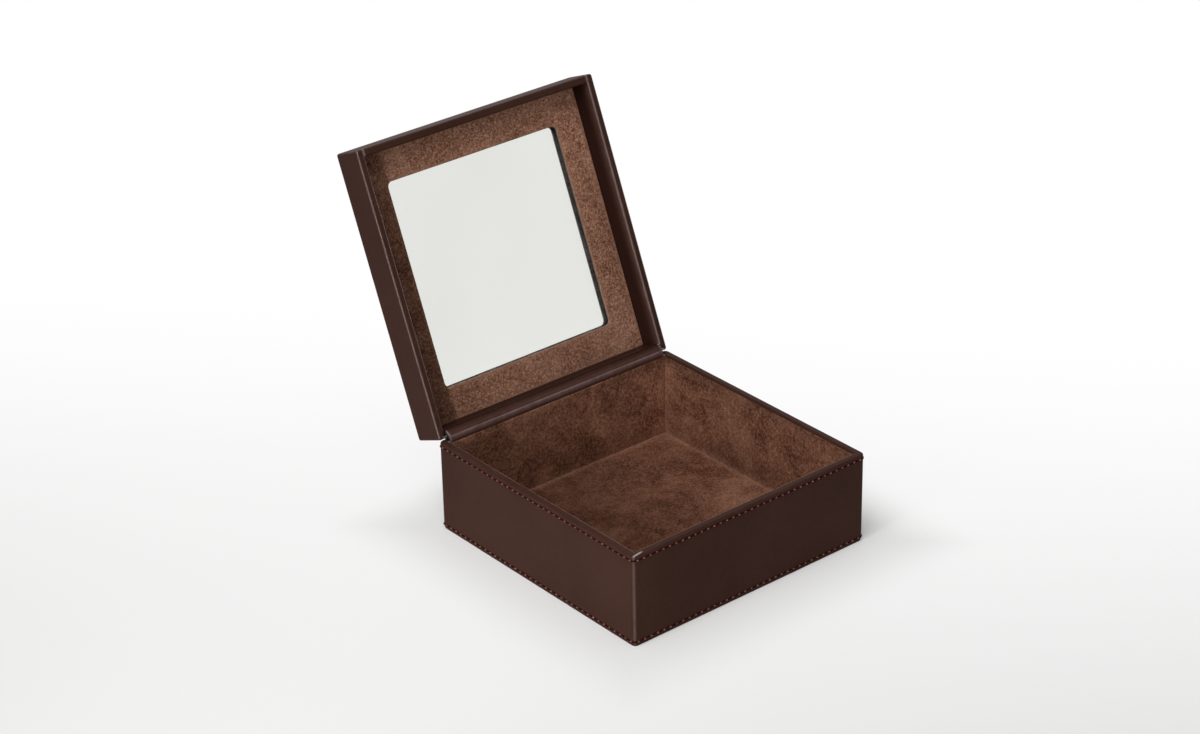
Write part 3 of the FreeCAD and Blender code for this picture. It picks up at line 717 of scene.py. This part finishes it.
clear_glass, tree, shader, where = new_finish("clear_glass")
shader.inputs["Base Color"].default_value = (0.985, 0.99, 0.985, 1.0)
shader.inputs["Transmission Weight"].default_value = 1.0
shader.inputs["IOR"].default_value = 1.08
waves = grain(tree, where, 12, detail=1.0)
tree.links.new(spread(tree, waves, 0.0, 0.004), shader.inputs["Roughness"])

silvering, tree, shader, where = new_finish("silvering")
haze = grain(tree, where, 9)
silver = between(tree, haze, [(0.3, SILVER_DULL), (0.7, SILVER_BRIGHT)])
tree.links.new(silver, shader.inputs["Base Color"])
tree.links.new(spread(tree, haze, 0.01, 0.02), shader.inputs["Roughness"])
shader.inputs["Metallic"].default_value = 1.0

pane = lid_sheet("mirror_pane", GLASS_FRONT, GLASS_BACK - PANE_SHORT, 0.2, clear_glass)
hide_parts("mirror_glass")
lid_sheet("mirror_silver", GLASS_BACK - SILVER_THICKNESS, GLASS_BACK, 0.03, silvering)


# ---- The suede frame round the mirror -----------------------------------------------------------
# One piece of suede-covered card that fills the inside of the lid, with a window cut for the
# mirror. Its front edges are rounded over, and the cut edge of the window shows darker. Painted
# shade darkens the suede, most at the left and least at the top; its copy of the suede is
# brightened for the light on it, and its edges are paler, partly as a painted highlight.
FRAME_FRONT = 13.95
FRAME_BACK = GLASS_FRONT
FRAME_HALF = 70.95
WINDOW_HALF = 54.0
WINDOW_RADIUS = 2.8
FRAME_EDGE = 0.35
FRAME_TURNED_WIDTH = 2.0
SIDE_STEPS = 50
CORNER_STEPS = 10
EDGE_STEPS = 3
CUT_DARK = (0.070, 0.055, 0.050, 1.0)
CUT_PALE = (0.150, 0.125, 0.116, 1.0)


def frame_loop():
    """Pairs of places round the window and on the frame's outer edge."""
    pairs = []
    straight = WINDOW_HALF - WINDOW_RADIUS
    reach = FRAME_HALF - straight
    for side in range(4):
        turn = Matrix.Rotation(side * math.pi / 2, 2)
        for step in range(SIDE_STEPS):
            x = -straight + 2 * straight * step / SIDE_STEPS
            pairs.append((turn @ Vector((x, -WINDOW_HALF)), turn @ Vector((x, -FRAME_HALF))))
        for step in range(CORNER_STEPS):
            share = step / CORNER_STEPS
            angle = share * math.pi / 2
            inner = Vector((
                straight + WINDOW_RADIUS * math.sin(angle),
                -straight - WINDOW_RADIUS * math.cos(angle),
            ))
            if share <= 0.5:
                outer = Vector((straight + reach * share * 2, -FRAME_HALF))
            else:
                outer = Vector((FRAME_HALF, -straight - reach * (1 - share) * 2))
            pairs.append((turn @ inner, turn @ outer))
    return pairs


def frame_profile():
    """(share of the way from window to outer edge, inset, height) for each line of the section."""
    lines = [(0.0, 0.0, FRAME_BACK)]
    angles = [step / EDGE_STEPS * math.pi / 2 for step in range(EDGE_STEPS + 1)]
    for angle in angles:
        inset, sunk = FRAME_EDGE * (1 - math.cos(angle)), FRAME_EDGE * (1 - math.sin(angle))
        lines.append((0.0, inset, FRAME_FRONT + sunk))
    for share in (0.06, 0.12, 0.2, 0.3, 0.4, 0.5, 0.6, 0.7, 0.8, 0.88, 0.94):
        lines.append((share, 0.0, FRAME_FRONT))
    for angle in angles:
        inset, sunk = FRAME_EDGE * (1 - math.sin(angle)), FRAME_EDGE * (1 - math.cos(angle))
        lines.append((1.0, -inset, FRAME_FRONT + sunk))
    lines.append((1.0, 0.0, FRAME_BACK))
    return lines


def frame_edges_and_shade(x, y, to_edge):
    """How pale the turned edge is, partly painted highlight, and how much painted shade lies there;
    y runs back from the middle of the lid.
    """
    on_left = along(-x, WINDOW_HALF - 1.5, WINDOW_HALF - 0.5)
    on_top = along(-y, 50, 64)
    on_right = along(x, 46, 56)
    brushed = 0.42 + (0.25 - 0.2 * along(-y, 20, 50) - 0.42) * on_right
    brushed *= 1 - on_top
    dark = brushed + (0.85 - 0.3 * on_top - brushed) * on_left
    turned = max(0.0, 1 - to_edge / FRAME_TURNED_WIDTH) * (1 - 0.75 * max(on_left, on_top))
    return turned, dark


cut_edge, tree, shader, where = new_finish("cut_edge")
layers = grain(tree, where, 500, detail=3.0)
layered = between(tree, layers, [(0.35, CUT_DARK), (0.65, CUT_PALE)])
tree.links.new(layered, shader.inputs["Base Color"])
tree.links.new(spread(tree, layers, 0.5, 0.7), shader.inputs["Roughness"])
relief(tree, shader, [(layers, 0.05, 0.3)])

section = frame_profile()
work = bmesh.new()
grid, frame_turned_lit, frame_shade = [], [], []
for inner, outer in frame_loop():
    way = (outer - inner).normalized()
    column = []
    for share, inset, height in section:
        spot = inner.lerp(outer, share) + way * inset
        wave = noise.noise(Vector((spot.x * 0.08, spot.y * 0.08, 3.0)))
        sink = 0.06 * (0.6 + wave) if 0.0 < share < 1.0 else 0.02
        column.append(work.verts.new(in_lid(spot.x, LID_MIDDLE + spot.y, height + sink)))
        to_edge = min(share, 1 - share) * (FRAME_HALF - WINDOW_HALF)
        turned, dark = frame_edges_and_shade(spot.x, spot.y, to_edge)
        frame_turned_lit.append(turned)
        frame_shade.append(dark)
    grid.append(column)
for near, far in zip(grid, grid[1:] + grid[:1]):
    for line in range(len(section) - 1):
        face = work.faces.new((near[line], near[line + 1], far[line + 1], far[line]))
        face.material_index = 1 if line == 0 else 0
    work.faces.new((near[-1], near[0], far[0], far[-1])).material_index = 1
lid_suede_lit = suede("lid_suede_lit", (2.41, 2.64, 2.78), patchy=0.15, fleck=0.85)
suede_frame = mesh_piece("suede_frame", work, lid_suede_lit)
suede_frame.data.materials.append(cut_edge)
mark(suede_frame, "turned", frame_turned_lit)
mark(suede_frame, "painted_shade", frame_shade)
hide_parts("lid_suede_frame")
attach(suede_frame, "lid")


# ---- The steel of the spring hinge --------------------------------------------------------------
# Nickelled steel: two leaves rolled round one pin, and a folded spring strip that snaps the lid
# open and shut. Fine lines run along it from the drawing and rolling.
STEEL_BRIGHT = (0.170, 0.175, 0.160, 1.0)
STEEL_DULL = (0.100, 0.102, 0.095, 1.0)

hinge_steel, tree, shader, where = new_finish("hinge_steel")
drawn = grain(tree, where, 900, detail=3.0, stretch=(0.05, 1.0, 1.0))
steel = between(tree, drawn, [(0.3, STEEL_DULL), (0.7, STEEL_BRIGHT)])
tree.links.new(steel, shader.inputs["Base Color"])
tree.links.new(spread(tree, drawn, 0.25, 0.42), shader.inputs["Roughness"])
relief(tree, shader, [(drawn, 0.02, 0.3)])
shader.inputs["Metallic"].default_value = 1.0
dress(hinge_steel, "hinge_base_leaf", "hinge_lid_leaf", "hinge_pin", "hinge_spring")


# ---- The leather facing of the spring strip -----------------------------------------------------
# A narrow strip of the same calf over the spring, hiding the hinge. It wrinkles a little along
# its fold, where a painted highlight lightens its ridge and its ends, and the ridge is polished
# most.
FACING_HALF = 70.15
FACING_STATIONS = 140
FACING_END_BAND = 0.9
WRINKLE_OUT = 0.10
WRINKLE_DOWN = 0.05
FACING_FRONT = [
    (71.12, 48.20), (71.17, 48.75), (71.38, 49.55), (71.62, 50.35), (71.80, 51.00),
    (71.90, 51.36), (71.96, 51.54), (72.08, 51.70), (72.36, 52.04), (72.93, 52.62),
    (74.00, 53.12), (75.09, 53.62), (75.32, 53.62),
]
# Painted highlight on each line of the front, brightest on the ridge of the fold.
FACING_HIGHLIGHTS = (0.0, 0.0, 0.12, 0.38, 0.42, 0.80, 1.0, 0.55, 0.03, 0.13, 0.02, 0.0, 0.0)
FACING_HIGHLIGHT_COLOUR = (0.270, 0.165, 0.158, 1.0)
FACING_BACK = [
    (75.36, 53.42), (75.22, 53.20), (72.80, 52.13), (72.17, 50.30), (71.72, 49.20), (71.60, 48.20),
]


def fold_highlight(tree, where):
    """How much painted highlight lightens the strip, most along the ridge of its fold, and how
    polished.
    """
    highlight = marked(tree, "turned")
    return highlight, number(tree, "MULTIPLY", highlight, 0.6)


work = bmesh.new()
grid, facing_highlight = [], []
for station in range(FACING_STATIONS + 1):
    x = FACING_HALF * (2 * station / FACING_STATIONS - 1)
    # Painted highlight at both ends of the strip.
    at_end = max(0.0, 1 - (FACING_HALF - abs(x)) / FACING_END_BAND)
    column = []
    for line, (y, z) in enumerate(FACING_FRONT):
        slack = 0.4 + 0.6 * (1 - abs(line - 3) / 4) if 1 <= line <= 6 else 0.2
        broad = noise.noise(Vector((x * 0.22, line * 0.45, 0.0)))
        close = noise.noise(Vector((x * 0.8, line, 4.0)))
        wave = broad + 0.6 * close
        out, down = WRINKLE_OUT * slack * wave, WRINKLE_DOWN * slack * wave
        column.append(work.verts.new(Vector((x, y + out, z - down)) * MM))
        facing_highlight.append(max(FACING_HIGHLIGHTS[line], at_end))
    for y, z in FACING_BACK:
        column.append(work.verts.new(Vector((x, y, z)) * MM))
        facing_highlight.append(0.0)
    grid.append(column)
for near, far in zip(grid, grid[1:]):
    for line in range(len(near)):
        following = (line + 1) % len(near)
        work.faces.new((near[line], near[following], far[following], far[line]))
work.faces.new(grid[0][::-1])
work.faces.new(grid[-1])

strip_calf = calf("strip_calf", 0.36, fold_highlight, highlight_to=FACING_HIGHLIGHT_COLOUR, crinkle=0.3)
strip_facing = mesh_piece("strip_facing", work, strip_calf)
# Here the turned mark carries the painted highlight.
mark(strip_facing, "turned", facing_highlight)
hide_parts("hinge_spring_leather")
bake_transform(strip_facing)


# ---- The table it stands on ---------------------------------------------------------------------
# A matt table top, painted a pale warm white, much wider than the box. It runs off to plain white
# behind and far out, and keeps the box's soft shadow near it.
TABLE_WHITE = (0.88, 0.88, 0.865, 1.0)
SHADOW_WIDTH = 48.0
FADE_ALONG = (0.75, 0.66, 0.0)

table_white, tree, shader, where = new_finish("table_white")
shader.inputs["Base Color"].default_value = TABLE_WHITE
brushed = grain(tree, where, 40)
tree.links.new(spread(tree, brushed, 0.85, 0.95), shader.inputs["Roughness"])
shader.inputs["Specular IOR Level"].default_value = 0.1
glow = tree.nodes.new("ShaderNodeEmission")
mix = tree.nodes.new("ShaderNodeMixShader")
ray = tree.nodes.new("ShaderNodeLightPath")
backwards = tree.nodes.new("ShaderNodeVectorMath")
backwards.operation = "DOT_PRODUCT"
backwards.inputs[1].default_value = FADE_ALONG
tree.links.new(where, backwards.inputs[0])
faded = ramp_up(tree, backwards.outputs["Value"], -0.52, 0.27)
from_side, from_front, _ = from_middle(tree, where)
clear = number(tree, "SUBTRACT", number(tree, "MAXIMUM", from_side, from_front), BOX_HALF)
faded = number(tree, "MULTIPLY", faded, ramp_up(tree, clear, 0.0, SHADOW_WIDTH, 0.3, 1.0))
faded = number(tree, "MAXIMUM", faded, ramp_up(tree, distance_from(tree, where), 0.3, 0.8))
tree.links.new(number(tree, "MULTIPLY", faded, ray.outputs["Is Camera Ray"]), mix.inputs["Fac"])
tree.links.new(shader.outputs["BSDF"], mix.inputs[1])
tree.links.new(glow.outputs["Emission"], mix.inputs[2])
tree.links.new(mix.outputs["Shader"], tree.nodes["Material Output"].inputs["Surface"])

work = bmesh.new()
bmesh.ops.create_grid(work, x_segments=8, y_segments=8, size=6.0)
table = mesh_piece("table_top", work, table_white)


# ---- The light ----------------------------------------------------------------------------------
# A white room that lights evenly and weakly, and three soft lamps: one with a narrow beam at the
# left, a tall thin one low at the front left, and a large one above.
ROOM_LIGHT = 0.28
LAMP_CENTRE = 0.08

world = bpy.data.worlds.new("studio")
bpy.context.scene.world = world
world.use_nodes = True
sky = world.node_tree
room = sky.nodes["Background"]
room.inputs["Color"].default_value = (1.0, 1.0, 1.0, 1.0)
room.inputs["Strength"].default_value = ROOM_LIGHT
bright = sky.nodes.new("ShaderNodeBackground")
bright.inputs["Color"].default_value = (1.0, 1.0, 0.995, 1.0)
bright.inputs["Strength"].default_value = 1.0
path = sky.nodes.new("ShaderNodeLightPath")
seen = number(sky, "MAXIMUM", path.outputs["Is Camera Ray"], path.outputs["Is Glossy Ray"])
seen = number(sky, "MAXIMUM", seen, path.outputs["Is Transmission Ray"])
choice = sky.nodes.new("ShaderNodeMixShader")
sky.links.new(seen, choice.inputs["Fac"])
sky.links.new(room.outputs["Background"], choice.inputs[1])
sky.links.new(bright.outputs["Background"], choice.inputs[2])
sky.links.new(choice.outputs["Shader"], sky.nodes["World Output"].inputs["Surface"])


def soft_lamp(name, towards, distance, wide, tall, power, aim=LAMP_CENTRE, spread_angle=180.0):
    """A rectangular soft lamp in that direction from the box, turned to face it at that height."""
    lamp = bpy.data.lights.new(name, "AREA")
    lamp.shape = "RECTANGLE"
    lamp.size, lamp.size_y = wide, tall
    lamp.energy = power
    lamp.spread = math.radians(spread_angle)
    holder = bpy.data.objects.new(name, lamp)
    holder.location = Vector((0.0, 0.0, LAMP_CENTRE)) + Vector(towards).normalized() * distance
    holder.rotation_mode = "QUATERNION"
    facing = holder.location - Vector((0.0, 0.0, aim))
    holder.rotation_quaternion = facing.to_track_quat("Z", "Y")
    bpy.context.scene.collection.objects.link(holder)


soft_lamp(
    "lamp_left", (-0.965, -0.17, 0.20), distance=1.2, wide=0.12, tall=0.4, power=0.235,
    aim=-0.12, spread_angle=34.0,
)
soft_lamp(
    "lamp_front_left", (-0.81, -0.58, 0.07), distance=1.2, wide=0.05, tall=0.5, power=1.3
)
soft_lamp("lamp_above", (-0.45, -0.20, 0.87), distance=1.4, wide=0.8, tall=0.8, power=10.5)


# ---- The camera ---------------------------------------------------------------------------------
# It stands a metre and a half from the box, to the left of its front and above it, so that the
# front, the left side and the inside of the lid are all seen.
CAMERA_AZIMUTH = math.radians(-39.28)
CAMERA_ELEVATION = math.radians(27.59)
CAMERA_ROLL = math.radians(-1.18)
CAMERA_TARGET = Vector((-5.67, 31.31, 84.14)) * MM
CAMERA_DISTANCE = 1520.86 * MM
LENS_LENGTH = 91.96

back = Vector((
    math.sin(CAMERA_AZIMUTH) * math.cos(CAMERA_ELEVATION),
    -math.cos(CAMERA_AZIMUTH) * math.cos(CAMERA_ELEVATION),
    math.sin(CAMERA_ELEVATION),
))
right = (-back).cross(Vector((0.0, 0.0, 1.0))).normalized()
up = right.cross(-back)
across = right * math.cos(CAMERA_ROLL) + up * math.sin(CAMERA_ROLL)
upward = up * math.cos(CAMERA_ROLL) - right * math.sin(CAMERA_ROLL)
lens = bpy.data.cameras.new("camera")
lens.lens = LENS_LENGTH
lens.sensor_width = 36.0
lens.clip_start = 0.05
lens.clip_end = 30.0
camera = bpy.data.objects.new("camera", lens)
camera.location = CAMERA_TARGET + back * CAMERA_DISTANCE
camera.rotation_mode = "QUATERNION"
camera.rotation_quaternion = Matrix((across, upward, back)).transposed().to_quaternion()
bpy.context.scene.collection.objects.link(camera)
bpy.context.scene.camera = camera
bpy.context.scene.view_settings.view_transform = "Standard"
